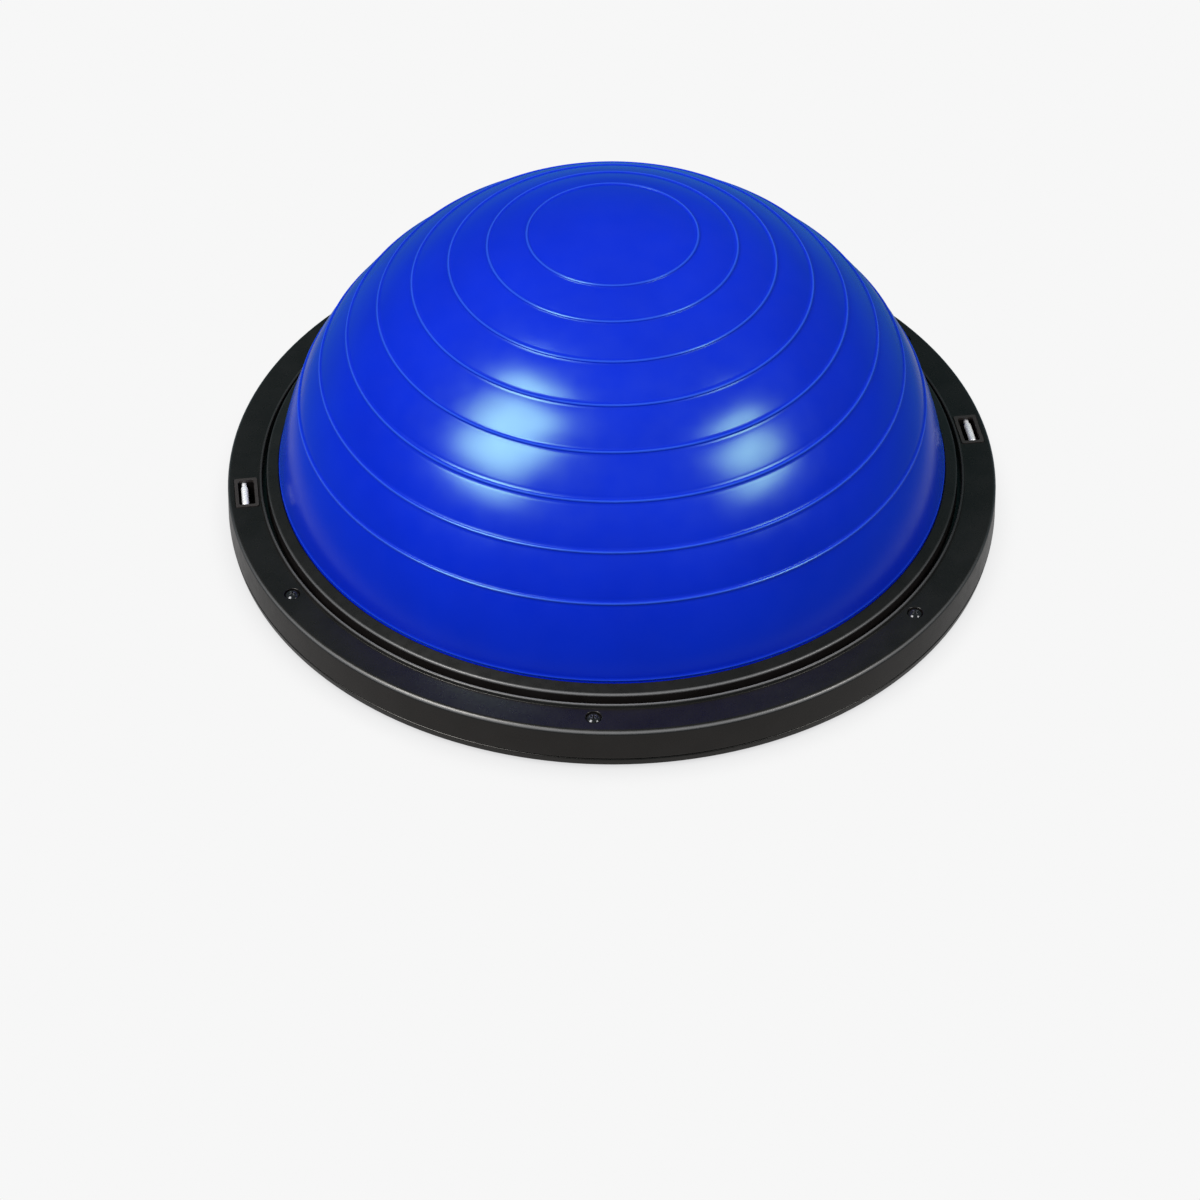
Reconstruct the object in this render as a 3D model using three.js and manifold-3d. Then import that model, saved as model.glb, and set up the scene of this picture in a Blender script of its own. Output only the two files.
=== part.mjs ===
// Balance dome trainer: an inflated half ball clamped on a round plastic platform.
// Millimetres, +Z up, the front faces -Y, the origin is on the floor under the centre.
import * as THREE from 'three';
import { mergeVertices } from 'three/addons/utils/BufferGeometryUtils.js';
import Module from 'manifold-3d';

const wasm = await Module();
wasm.setup();

// ---- Driving dimensions -------------------------------------------------------------------
const gap = 0.3; // between parts that touch
const segments = 64; // round the big rings, which all share one phase

const footProud = 3; // the rubber pads lift the platform this much
const platformRadius = 290;
const rimTop = footProud + 32; // the flat that carries the screws and the anchor slots
const partingLine = footProud + 6.5; // between the base and the ring that closes it

const dome = { radius: 252, height: 239, power: 1.89, centre: footProud + 12.6 };
const skin = 4; // thickness of the dome's wall
const cuffTop = 48; // the stiff cuff at the dome's foot ends here

const floorUnder = 20; // underside of the dome's flat floor and of its flange
const floorThick = 3;
const flangeRadius = 264;
const flangeTop = 25.7;

const collar = { inner: 0.4, flangeRadius: 265.6, flangeTop: 29, wall: 259.4, top: 44.9 };
const ringInner = 262.9;
const ringThick = 4;
const ringLip = { wide: 2.8, high: 2.6 }; // along the ring's inner edge
const skirtThick = 5;
const landHalf = 32; // the ring's two pieces with the slots reach this far along the rim

const plateTop = footProud + 6;
const ribTop = floorUnder - gap;
const ribThick = 3;
const ribWalls = [130, 243, 262];
const radialRibs = 8;

const screwCircle = 274;
const screwAngles = [-65, -10.5, 44.5]; // degrees from the front; three more stand opposite
const screw = { shank: 2.5, head: 4.9, headUnder: 32.6, tip: 5.2, bore: 2.9, counterbore: 5.7, boss: 7.4 };
const bossJoint = 16; // the ring's and the base's screw bosses meet here
const nut = { under: 4.4, top: 8.4, corner: 4.6, bore: 2.8, pocketCorner: 5, pocketTop: 8.8 };

const anchorCircle = 275;
const anchorAngles = { left: -90, right: 90 };
const slot = { across: 12, along: 27.2, frame: 2.6, depth: 18.5 };
const pin = { radius: 2.7, journal: 1.9, roller: 22, length: 31.6, offset: 1.3, height: 31 };

const footCircle = 225;
const footCount = 8;
const foot = { radius: 16, top: 5.2, socketTop: 5.5 };

const grip = { centre: 238, across: 26, along: 110, top: 15, wall: 3, corner: 8 };
const well = { radius: 19.5, top: 14.5, wall: 4.5, webTop: 18.5 };
const valve = { bore: 4.6, stem: 7.4, hole: 8.3, under: 10.5, flange: 17 };

// ---- Materials ----------------------------------------------------------------------------
function finish(color, roughness, metalness = 0) {
  return () => new THREE.MeshStandardMaterial({ color, roughness, metalness });
}
const bluePvc = finish(0x1a2fd0, 0.34);
const blackPlastic = finish(0x26272a, 0.55);
const blackScrew = finish(0x141416, 0.3, 0.8);
const steel = finish(0xd6d8da, 0.2, 1);
const nutSteel = finish(0xa4a6a8, 0.4, 1);
const blackRubber = finish(0x1a1a1a, 0.85);
const whiteVinyl = finish(0xe6e4dc, 0.5);

// ---- Helpers ------------------------------------------------------------------------------
const turn = (degrees) => THREE.MathUtils.degToRad(degrees);

// A closed outline of [radius, height] pairs, turned round +Z.
function turned(outline, count = segments) {
  const points = outline.map(([r, z]) => new THREE.Vector2(r, z));
  if (THREE.ShapeUtils.area(points) < 0) {
    points.reverse();
  }
  const onAxis = points[0].x === 0 && points.at(-1).x === 0;
  if (!onAxis) {
    points.push(points[0].clone());
  }
  return new THREE.LatheGeometry(points, count).rotateX(Math.PI / 2);
}

// A standing cylinder from one height to another.
function post(radius, low, high, count = 16) {
  const shape = new THREE.CylinderGeometry(radius, radius, high - low, count);
  return shape.rotateX(Math.PI / 2).translate(0, 0, (low + high) / 2);
}

// A standing block, across X and along Y, with round corners.
function block(across, along, low, high, corner) {
  const x = across / 2;
  const y = along / 2;
  const outline = new THREE.Shape();
  outline.moveTo(-x + corner, -y);
  outline.lineTo(x - corner, -y);
  outline.absarc(x - corner, -y + corner, corner, -Math.PI / 2, 0);
  outline.lineTo(x, y - corner);
  outline.absarc(x - corner, y - corner, corner, 0, Math.PI / 2);
  outline.lineTo(-x + corner, y);
  outline.absarc(-x + corner, y - corner, corner, Math.PI / 2, Math.PI);
  outline.lineTo(-x, -y + corner);
  outline.absarc(-x + corner, -y + corner, corner, Math.PI, Math.PI * 1.5);
  const options = { depth: high - low, bevelEnabled: false, curveSegments: 3 };
  return new THREE.ExtrudeGeometry(outline, options).translate(0, 0, low);
}

// Carries a shape out to a radius at an angle measured from the front, towards +X.
// Its +X side then points away from the centre.
function placed(geometry, radius, degrees) {
  return geometry.clone().translate(radius, 0, 0).rotateZ(turn(degrees - 90));
}

function solid(geometry) {
  const bare = geometry.clone();
  bare.deleteAttribute('normal');
  bare.deleteAttribute('uv');
  const welded = mergeVertices(bare, 1e-3);
  const corners = [];
  for (let i = 0; i < welded.index.count; i += 3) {
    const [a, b, c] = [0, 1, 2].map((k) => welded.index.getX(i + k));
    if (a !== b && b !== c && c !== a) {
      corners.push(a, b, c);
    }
  }
  const vertProperties = new Float32Array(welded.attributes.position.array);
  const triVerts = new Uint32Array(corners);
  return new wasm.Manifold(new wasm.Mesh({ numProp: 3, vertProperties, triVerts }));
}

function shaped(body, { add = [], cut = [], keep = null } = {}) {
  let result = solid(body);
  for (const geometry of add) {
    result = result.add(solid(geometry));
  }
  for (const geometry of cut) {
    result = result.subtract(solid(geometry));
  }
  if (keep) {
    result = result.intersect(solid(keep));
  }
  const mesh = result.getMesh();
  const geometry = new THREE.BufferGeometry();
  geometry.setAttribute('position', new THREE.BufferAttribute(mesh.vertProperties, 3));
  geometry.setIndex(new THREE.BufferAttribute(mesh.triVerts, 1));
  geometry.computeVertexNormals();
  return geometry;
}

const trainer = new THREE.Group();

function addPart(name, geometry, material) {
  const mesh = new THREE.Mesh(geometry, material());
  mesh.name = name;
  trainer.add(mesh);
}

const allScrewAngles = [...screwAngles, ...screwAngles.map((angle) => angle + 180)];

// ---- The dome -----------------------------------------------------------------------------
// Radius of the dome's outside, or of a surface that lies inset from it, at a height.
function domeRadius(height, inset = 0) {
  const rise = Math.max(height - dome.centre, 0) / (dome.height - inset);
  return (dome.radius - inset) * (1 - rise ** dome.power) ** (1 / dome.power);
}

// Points of that surface from the crown down to a height, evenly spaced by angle.
function domeArc(lowest, inset, steps) {
  const wide = dome.radius - inset;
  const tall = dome.height - inset;
  const last = Math.atan2(domeRadius(lowest, inset), lowest - dome.centre);
  const points = [];
  for (let i = 0; i < steps; i += 1) {
    const angle = (last * i) / steps;
    const across = (Math.sin(angle) / wide) ** dome.power;
    const up = (Math.cos(angle) / tall) ** dome.power;
    const reach = (across + up) ** (-1 / dome.power);
    points.push([reach * Math.sin(angle), dome.centre + reach * Math.cos(angle)]);
  }
  points.push([domeRadius(lowest, inset), lowest]);
  return points;
}

function domeSkin() {
  return turned([...domeArc(cuffTop, 0, 10), ...domeArc(cuffTop, skin, 8).reverse()]);
}

function domeCuff() {
  const top = cuffTop - gap;
  return turned([
    [domeRadius(top), top],
    [domeRadius(36), 36],
    [domeRadius(flangeTop), flangeTop],
    [flangeRadius, flangeTop],
    [flangeRadius, floorUnder],
    [domeRadius(floorUnder, skin), floorUnder],
    [domeRadius(36, skin), 36],
    [domeRadius(top, skin), top],
  ]);
}

function domeFloor() {
  const edge = domeRadius(floorUnder, skin) - 2 * gap;
  const top = floorUnder + floorThick;
  const hole = valve.stem + gap;
  return turned([[hole, floorUnder], [edge, floorUnder], [edge, top], [hole, top]]);
}

addPart('dome_skin', domeSkin(), bluePvc);
addPart('dome_cuff', domeCuff(), bluePvc);
addPart('dome_floor', domeFloor(), bluePvc);

// ---- The collar that grips the dome's foot ------------------------------------------------
function domeCollar() {
  const inner = (height) => domeRadius(height) + collar.inner;
  const under = flangeTop + gap;
  return turned([
    [inner(under), under],
    [inner(36), 36],
    [inner(collar.top - 0.6), collar.top - 0.6],
    [inner(collar.top) + 0.8, collar.top],
    [257.3, collar.top - 2.2],
    [258.6, collar.top - 2.9],
    [259.2, collar.top - 4.1],
    [collar.wall, collar.flangeTop],
    [collar.flangeRadius, collar.flangeTop],
    [collar.flangeRadius, under],
  ]);
}

addPart('dome_collar', domeCollar(), blackPlastic);

// ---- The ring on top of the platform ------------------------------------------------------
const frameAcross = slot.across + 2 * slot.frame;
const frameAlong = slot.along + 2 * slot.frame;

function topRing(keep) {
  const low = partingLine + gap;
  const under = rimTop - ringThick;
  const clampUnder = collar.flangeTop + gap;
  const skirt = platformRadius - skirtThick;
  const body = turned([
    [ringInner, clampUnder],
    [ringInner, rimTop + ringLip.high - 0.6],
    [ringInner + 0.6, rimTop + ringLip.high],
    [ringInner + 1.4, rimTop + ringLip.high],
    [ringInner + 2, rimTop + ringLip.high - 0.6],
    [ringInner + ringLip.wide, rimTop],
    [285.4, rimTop],
    [287.2, rimTop - 0.6],
    [288.4, rimTop - 1.9],
    [288.9, rimTop - 4],
    [platformRadius, low + 2],
    [platformRadius - 0.5, low],
    [skirt, low],
    [skirt, under],
    [270, under],
    [270, clampUnder],
  ]);
  const seat = screw.headUnder - gap;
  const boss = post(screw.boss, bossJoint, under + 0.5);
  const counterbore = post(screw.counterbore, seat, rimTop + 1);
  const bore = post(screw.bore, bossJoint - 1, seat + 0.5, 12);
  const add = [];
  const cut = [];
  for (const angle of allScrewAngles) {
    add.push(placed(boss, screwCircle, angle));
    cut.push(placed(counterbore, screwCircle, angle));
    cut.push(placed(bore, screwCircle, angle));
  }
  const window = block(frameAcross + 2 * gap, frameAlong + 2 * gap, under - 4, rimTop + 1, 1.6);
  for (const angle of Object.values(anchorAngles)) {
    cut.push(placed(window, anchorCircle, angle));
  }
  return shaped(body, { add, cut, keep });
}

// The real ring is one moulding. In four pieces its collision stays open at the slots.
const room = 2 * platformRadius + 10;
const beyond = landHalf + gap + room / 2;
const ringPieces = {
  front: new THREE.BoxGeometry(room, room, room).translate(0, -beyond, 0),
  back: new THREE.BoxGeometry(room, room, room).translate(0, beyond, 0),
  left: new THREE.BoxGeometry(room, 2 * landHalf, room).translate(-room / 2, 0, 0),
  right: new THREE.BoxGeometry(room, 2 * landHalf, room).translate(room / 2, 0, 0),
};
for (const [side, keep] of Object.entries(ringPieces)) {
  addPart(`top_ring_${side}`, topRing(keep), blackPlastic);
}

// ---- The platform under it ----------------------------------------------------------------
function basePlatform() {
  const lip = platformRadius - skirtThick - 0.7;
  const body = turned([
    [well.radius, footProud],
    [287.5, footProud],
    [289.2, footProud + 0.6],
    [platformRadius, footProud + 2],
    [platformRadius, partingLine - 0.8],
    [platformRadius - 0.6, partingLine],
    [lip, partingLine],
    [lip, partingLine + 4.5],
    [lip - 2.8, partingLine + 4.5],
    [lip - 2.8, plateTop],
    [well.radius + well.wall, plateTop],
    [well.radius + well.wall, well.webTop],
    [valve.hole, well.webTop],
    [valve.hole, well.top],
    [well.radius, well.top],
  ]);
  const rooted = plateTop - 0.5;
  const add = ribWalls.map((outer) => {
    const inner = outer - ribThick;
    return turned([[inner, rooted], [outer, rooted], [outer, ribTop], [inner, ribTop]]);
  });
  const cut = [];

  const start = well.radius + 2;
  const end = ribWalls.at(-1) - 1;
  const rib = new THREE.BoxGeometry(end - start, ribThick, ribTop - rooted);
  rib.translate((start + end) / 2, 0, (ribTop + rooted) / 2);
  for (let i = 0; i < radialRibs; i += 1) {
    add.push(placed(rib, 0, (360 / radialRibs) * (i + 0.5)));
  }

  const boss = post(screw.boss + 0.4, rooted, bossJoint - 0.4);
  const bore = post(screw.bore, footProud - 1, bossJoint + 1, 12);
  const pocket = post(nut.pocketCorner, footProud - 1, nut.pocketTop, 6);
  for (const angle of allScrewAngles) {
    add.push(placed(boss, screwCircle, angle));
    cut.push(placed(bore, screwCircle, angle));
    cut.push(placed(pocket, screwCircle, angle));
  }

  const socket = post(foot.radius + gap, footProud - 1, foot.socketTop);
  for (let i = 0; i < footCount; i += 1) {
    cut.push(placed(socket, footCircle, (360 / footCount) * (i + 0.5)));
  }

  const { across, along, top, wall, corner } = grip;
  const tub = block(across + 2 * wall, along + 2 * wall, rooted, top + wall, corner + wall);
  const recess = block(across, along, footProud - 1, top, corner);
  for (const angle of [-90, 90]) {
    add.push(placed(tub, grip.centre, angle));
    cut.push(placed(recess, grip.centre, angle));
  }
  return shaped(body, { add, cut });
}

addPart('base_platform', basePlatform(), blackPlastic);

// ---- Screws and their captive nuts --------------------------------------------------------
function ringScrew() {
  const { shank, head, headUnder, tip } = screw;
  const body = turned(
    [
      [0, tip],
      [shank - 0.5, tip],
      [shank, tip + 0.6],
      [shank, headUnder],
      [head, headUnder],
      [head, headUnder + 1.3],
      [head - 0.7, headUnder + 2.5],
      [0, headUnder + 3.4],
    ],
    16,
  );
  const bar = new THREE.BoxGeometry(5.6, 1.2, 4).translate(0, 0, headUnder + 3.6);
  return shaped(body, { cut: [bar, bar.clone().rotateZ(Math.PI / 2)] });
}

function hexNut() {
  return shaped(post(nut.corner, nut.under, nut.top, 6), { cut: [post(nut.bore, 0, 12, 12)] });
}

allScrewAngles.forEach((angle, i) => {
  addPart(`ring_screw_${i + 1}`, placed(ringScrew(), screwCircle, angle), blackScrew);
  addPart(`captive_nut_${i + 1}`, placed(hexNut(), screwCircle, angle), nutSteel);
});

// ---- Anchors for the resistance bands -----------------------------------------------------
function anchorCup() {
  const top = rimTop - 2.1;
  const low = top - slot.depth;
  const ears = block(9, frameAlong + 10, 27.7, 30.7, 2);
  const inside = block(slot.across + 0.4, slot.along + 0.4, low + 2, top + 1, 1.2);
  const saddleRadius = pin.journal + 0.2;
  const saddleLength = pin.length + 10;
  const saddle = new THREE.CylinderGeometry(saddleRadius, saddleRadius, saddleLength, 16);
  saddle.translate(pin.offset, 0, pin.height);
  const way = new THREE.BoxGeometry(2 * saddleRadius, saddleLength, 10);
  way.translate(pin.offset, 0, pin.height + 5);
  const body = block(frameAcross, frameAlong, low, top, 1.5);
  return shaped(body, { add: [ears], cut: [inside, saddle, way] });
}

function anchorBezel() {
  const body = block(frameAcross, frameAlong, rimTop - 1.8, rimTop + 0.5, 1.5);
  return shaped(body, { cut: [block(slot.across, slot.along, 0, 60, 1.2)] });
}

// A roller with round shoulders between two thinner journals.
function anchorPin() {
  const half = [
    [pin.radius, pin.roller / 2 - 1.8],
    [pin.radius - 0.7, pin.roller / 2 - 0.4],
    [pin.journal, pin.roller / 2],
    [pin.journal, pin.length / 2 - 0.4],
    [pin.journal - 0.4, pin.length / 2],
    [0, pin.length / 2],
  ];
  const outline = [...half.map(([r, y]) => [r, -y]).reverse(), ...half];
  return turned(outline, 16).rotateX(Math.PI / 2).translate(pin.offset, 0, pin.height);
}

for (const [side, angle] of Object.entries(anchorAngles)) {
  addPart(`anchor_cup_${side}`, placed(anchorCup(), anchorCircle, angle), blackPlastic);
  addPart(`anchor_bezel_${side}`, placed(anchorBezel(), anchorCircle, angle), blackPlastic);
  addPart(`anchor_pin_${side}`, placed(anchorPin(), anchorCircle, angle), steel);
}

// ---- Feet ---------------------------------------------------------------------------------
function footPad() {
  const { radius, top } = foot;
  const sole = [[0, 0], [radius - 1.8, 0], [radius - 0.4, 1.2], [radius, 2.6]];
  return turned([...sole, [radius, top], [0, top]], 20);
}

for (let i = 0; i < footCount; i += 1) {
  const angle = (360 / footCount) * (i + 0.5);
  addPart(`foot_pad_${i + 1}`, placed(footPad(), footCircle, angle), blackRubber);
}

// ---- Inflation valve ----------------------------------------------------------------------
function valveBody() {
  const low = floorUnder + floorThick + gap;
  return turned(
    [
      [valve.bore, valve.under],
      [valve.stem, valve.under],
      [valve.stem, low],
      [valve.flange, low],
      [valve.flange, low + 2],
      [valve.bore, low + 2],
    ],
    20,
  );
}

function valvePlug() {
  const cap = valve.under - 0.4;
  const body = turned(
    [
      [0, cap - 3.6],
      [8.5, cap - 3.6],
      [9, cap - 3],
      [9, cap - 0.5],
      [8.5, cap],
      [valve.bore - 0.4, cap],
      [valve.bore - 0.4, 20],
      [3.2, 23],
      [0, 23],
    ],
    20,
  );
  const tab = block(3, 12, 3.6, cap - 3, 1.2);
  return shaped(body, { add: [tab] });
}

addPart('valve_body', valveBody(), whiteVinyl);
addPart('valve_plug', valvePlug(), whiteVinyl);

export default trainer;
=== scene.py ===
"""Looks of the balance dome trainer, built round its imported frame.

Shapes are worked out in millimetres and turned into metres when their mesh is made.
Outlines are (radius, height) pairs turned round +Z, and heights are above the floor.
"""

import math

import bmesh
import bpy
from mathutils import Matrix, Vector


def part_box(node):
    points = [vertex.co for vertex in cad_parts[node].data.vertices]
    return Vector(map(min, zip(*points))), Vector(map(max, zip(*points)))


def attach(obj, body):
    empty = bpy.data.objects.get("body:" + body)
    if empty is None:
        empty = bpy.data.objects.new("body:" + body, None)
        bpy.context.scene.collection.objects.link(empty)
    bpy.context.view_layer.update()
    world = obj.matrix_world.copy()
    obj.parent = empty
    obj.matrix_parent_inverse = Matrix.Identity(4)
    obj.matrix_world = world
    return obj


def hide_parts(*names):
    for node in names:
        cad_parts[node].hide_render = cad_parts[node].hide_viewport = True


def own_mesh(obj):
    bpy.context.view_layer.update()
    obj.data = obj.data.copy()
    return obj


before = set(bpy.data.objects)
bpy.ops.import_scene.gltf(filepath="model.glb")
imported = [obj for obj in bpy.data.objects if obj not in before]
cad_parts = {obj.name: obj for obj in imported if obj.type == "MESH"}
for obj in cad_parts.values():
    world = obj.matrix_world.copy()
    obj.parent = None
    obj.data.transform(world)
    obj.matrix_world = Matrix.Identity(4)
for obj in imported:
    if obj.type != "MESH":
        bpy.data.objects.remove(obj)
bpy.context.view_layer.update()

MM = 0.001
AROUND = 192  # steps round the big rings
ARC_STEP = math.radians(15)  # a fillet has a point at least this often


# ---- Sizes in millimetres, from the frame where it holds them ---------------------------------
def low(node):
    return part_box(node)[0].z / MM


def top(node):
    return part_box(node)[1].z / MM


def reach(node):
    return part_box(node)[1].x / MM


def seats(name, count):
    """Where numbered nodes stand: the distance from the axis, and the angle in degrees as for at()."""
    found = []
    for k in range(1, count + 1):
        lo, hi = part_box(f"{name}_{k}")
        middle = (lo + hi) / 2
        found.append((middle.xy.length / MM, math.degrees(math.atan2(middle.x, -middle.y))))
    return found


GAP = 0.3  # between neighbouring parts
UNDERSIDE = low("base_platform")
RIM = reach("top_ring_right")
BEAD = {"inner": 262.9, "wide": 2.8, "high": 2.6}  # the raised lip at the ring's inner edge
RIM_TOP = top("top_ring_right") - BEAD["high"]
COLLAR_TOP = top("dome_collar")
SEAM = COLLAR_TOP - 0.6  # the dome's wall starts here, just inside the collar's lip

# The dome's plain outline is a superellipse round a point on the axis
DOME = {"radius": 252, "centre": UNDERSIDE + 12.6, "power": 1.89, "wall": 2.6}
DOME["height"] = top("dome_skin") - DOME["centre"]

# Each rib is a bead with sloping flanks and a shallow valley on both sides, and the wall swells between
RIB_COUNT = 8
RIB = {
    "width": 2.7, "flank": 0.9, "height": 0.85,
    "valley": 0.20, "valley_at": 2.8, "valley_width": 1.5,
    "pillow": 0.28, "fade": 12,
}
# At its foot the wall has a small bead, and turns in below it
FOOT = {"bead": 2.3, "height": 0.5, "width": 0.8, "turn_in": 0.9, "turn_width": 0.9}

FLANGE = {"radius": reach("dome_cuff"), "low": low("dome_cuff"), "top": 25.7, "wall": 4}
WELL = {"radius": 19.5, "top": 14.5, "wall": 4.5, "web": 18.5, "hole": 8.3}
RECESS = {"centre": 238, "across": 26, "along": 110, "top": 15, "corner": 8, "wall": 3}
PLATE_TOP = UNDERSIDE + 6
WEB_TOP = FLANGE["low"] - GAP
WEB = 3  # thickness of the platform's walls and spokes
SPOKE = {"from": 22, "to": 261, "count": 8}
SLOT = {"across": 12, "along": 27.2, "frame": 2.6, "depth": 18.5, "circle": 275}
FRAME = (SLOT["across"] + 2 * SLOT["frame"], SLOT["along"] + 2 * SLOT["frame"])  # its outside
SIDES = {"left": -90, "right": 90}  # degrees from the front, towards +X
PIN = {"radius": 2.7, "journal": 1.9, "roller": 11, "offset": 1.3, "height": 31}
SADDLE = 2.1  # radius of the cup's saddles, in which the pin's ends turn
SCREW = {
    "tip": low("ring_screw_1"), "under": top("ring_screw_1") - 3.4, "height": 3.4, "head": 4.9,
    "bore": 2.9, "counterbore": 5.7, "boss": 7.4,
}
SCREW_SEATS = seats("ring_screw", 6)
PAD_RADIUS = 16
PAD_SEATS = seats("foot_pad", 8)

COLLAR_WALL = 259.4
SHOULDER = 288.67  # where the ring's flat would meet its side without the fillet
# The edges painted lighter, as (radius, height): the collar's ridge, the ring's lip and its outer edge. The
# lighter colour is partly wear and partly a painted highlight.
RUBBED_AND_LIT_EDGES = [
    (COLLAR_WALL - 0.5, COLLAR_TOP - 3.1),
    (BEAD["inner"] + 0.9, RIM_TOP + BEAD["high"]),
    (288.1, RIM_TOP - 1),
]


# ---- Outlines ---------------------------------------------------------------------------------
def filleted(corners):
    """Points of a closed outline whose corners (radius, height, fillet) are rounded."""
    points = []
    for i, (radius, height, fillet) in enumerate(corners):
        here = Vector((radius, height))
        if not fillet:
            points.append((radius, height))
            continue
        back = (Vector(corners[i - 1][:2]) - here).normalized()
        ahead = (Vector(corners[(i + 1) % len(corners)][:2]) - here).normalized()
        half = back.angle(ahead) / 2
        centre = here + (back + ahead).normalized() * (fillet / math.sin(half))
        start = here + back * (fillet / math.tan(half)) - centre
        sweep = math.pi - 2 * half
        if back.x * ahead.y - back.y * ahead.x > 0:
            sweep = -sweep
        steps = max(2, math.ceil(abs(sweep) / ARC_STEP))
        for k in range(steps + 1):
            arm = Matrix.Rotation(sweep * k / steps, 2) @ start
            points.append(tuple(centre + arm))
    return points


def oblong(across, along, corner, steps=6):
    """A rectangle with round corners, as points in the XY plane."""
    points = []
    for quarter, (sx, sy) in enumerate([(1, 1), (-1, 1), (-1, -1), (1, -1)]):
        x = sx * (across / 2 - corner)
        y = sy * (along / 2 - corner)
        for k in range(steps + 1):
            angle = (quarter + k / steps) * math.pi / 2
            points.append((x + corner * math.cos(angle), y + corner * math.sin(angle)))
    return points


def polygon(radius, sides):
    turns = [2 * math.pi * k / sides for k in range(sides)]
    return [(radius * math.cos(t), radius * math.sin(t)) for t in turns]


# ---- Meshes -----------------------------------------------------------------------------------
def mesh_of(points, faces):
    mesh = bpy.data.meshes.new("shape")
    mesh.from_pydata([[c * MM for c in point] for point in points], [], faces)
    work = bmesh.new()
    work.from_mesh(mesh)
    bmesh.ops.recalc_face_normals(work, faces=work.faces)
    work.to_mesh(mesh)
    work.free()
    return mesh


def lathe(outline, around=AROUND):
    """Turns an outline that closes on itself, or that starts and ends on the axis."""
    turns = [2 * math.pi * i / around for i in range(around)]
    points, rows = [], []
    for radius, height in outline:
        first = len(points)
        if radius < 1e-6:
            points.append((0, 0, height))
            rows.append([first] * around)
        else:
            points += [(radius * math.cos(t), radius * math.sin(t), height) for t in turns]
            rows.append(range(first, first + around))
    pairs = list(zip(rows, rows[1:]))
    if outline[0][0] > 1e-6:
        pairs.append((rows[-1], rows[0]))
    faces = []
    for one, other in pairs:
        for i in range(around):
            j = (i + 1) % around
            faces.append(tuple(dict.fromkeys((one[i], one[j], other[j], other[i]))))
    return mesh_of(points, faces)


def stack(layers):
    """A solid through flat outlines of equal length, given as (points, height) from the bottom."""
    count = len(layers[0][0])
    points = [(x, y, height) for outline, height in layers for x, y in outline]
    faces = [tuple(range(count)), tuple(range(len(points) - count, len(points)))]
    for layer in range(len(layers) - 1):
        first = layer * count
        for i in range(count):
            j = (i + 1) % count
            faces.append((first + i, first + j, first + count + j, first + count + i))
    return mesh_of(points, faces)


def post(radius, bottom, height, around=48):
    return lathe([(0, bottom), (radius, bottom), (radius, height), (0, height)], around)


def block(across, along, bottom, height, corner):
    outline = oblong(across, along, corner)
    return stack([(outline, bottom), (outline, height)])


def flared_block(across, along, bottom, height, corner, flare, mouth_up=True):
    """A block that widens by a round flare at its mouth, to cut a hole with a soft edge."""
    layers = []
    for k in range(5):
        angle = k / 4 * math.pi / 2
        spread = 2 * flare * (1 - math.cos(angle))
        rise = flare * math.sin(angle)
        layers.append((oblong(across + spread, along + spread, corner + spread / 2), rise))
    wide = layers[-1][0]
    if mouth_up:
        raised = [(outline, height - flare + rise) for outline, rise in layers]
        return stack([(layers[0][0], bottom)] + raised + [(wide, height + 1)])
    lowered = [(outline, bottom + flare - rise) for outline, rise in reversed(layers)]
    return stack([(wide, bottom - 1)] + lowered + [(layers[0][0], height)])


def flared_post(radius, bottom, height, flare, around=64):
    """The same for a round hole with its mouth on top."""
    outline = [(0, bottom), (radius, bottom)]
    for k in range(5):
        angle = k / 4 * math.pi / 2
        spread = flare * (1 - math.cos(angle))
        outline.append((radius + spread, height - flare + flare * math.sin(angle)))
    return lathe(outline + [(radius + flare, height + 1), (0, height + 1)], around)


def standing(distance, degrees, spin=0):
    """Carries a part out to a distance from the axis, at an angle from the front, towards +X."""
    turn = Matrix.Rotation(math.radians(degrees - 90), 4, "Z")
    out = Matrix.Translation((distance * MM, 0, 0))
    return turn @ out @ Matrix.Rotation(math.radians(spin), 4, "Z")


def at(mesh, distance, degrees):
    """A copy of the mesh that stands there."""
    copy = mesh.copy()
    copy.transform(standing(distance, degrees))
    return copy


def loose(mesh):
    obj = bpy.data.objects.new("loose", mesh)
    bpy.context.scene.collection.objects.link(obj)
    return obj


def evaluated(obj):
    """The object's mesh with its modifiers applied; the object itself is removed."""
    bpy.context.view_layer.update()
    graph = bpy.context.evaluated_depsgraph_get()
    mesh = bpy.data.meshes.new_from_object(obj.evaluated_get(graph))
    bpy.data.objects.remove(obj)
    return mesh


def combined(mesh, others, operation):
    """The mesh joined with the others (UNION) or cut by them (DIFFERENCE), one after another."""
    base = loose(mesh)
    tools = [loose(other) for other in others]
    for tool in tools:
        modifier = base.modifiers.new("combine", "BOOLEAN")
        modifier.operation = operation
        modifier.solver = "MANIFOLD"
        modifier.object = tool
    result = evaluated(base)
    for tool in tools:
        bpy.data.objects.remove(tool)
    return result


def softened(mesh, width, segments=3):
    """Rounds every sharp edge."""
    obj = loose(mesh)
    modifier = obj.modifiers.new("soften", "BEVEL")
    modifier.width = width * MM
    modifier.segments = segments
    modifier.limit_method = "ANGLE"
    modifier.angle_limit = math.radians(35)
    modifier.use_clamp_overlap = True
    return evaluated(obj)


def piece(name, mesh, material, slot, body, *nodes, place=None):
    """A finished piece that rides on a body and stands for its CAD nodes."""
    obj = bpy.data.objects.new(name, mesh)
    bpy.context.scene.collection.objects.link(obj)
    if place is not None:
        obj.matrix_world = place
    if material.name not in mesh.materials:
        mesh.materials.clear()
        mesh.materials.append(material)
        mesh.shade_smooth()
        mesh.set_sharp_from_angle(angle=math.radians(38))
    weigh = obj.modifiers.new("even_normals", "WEIGHTED_NORMAL")
    weigh.keep_sharp = True
    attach(obj, body)
    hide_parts(*nodes)
    return obj


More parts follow.
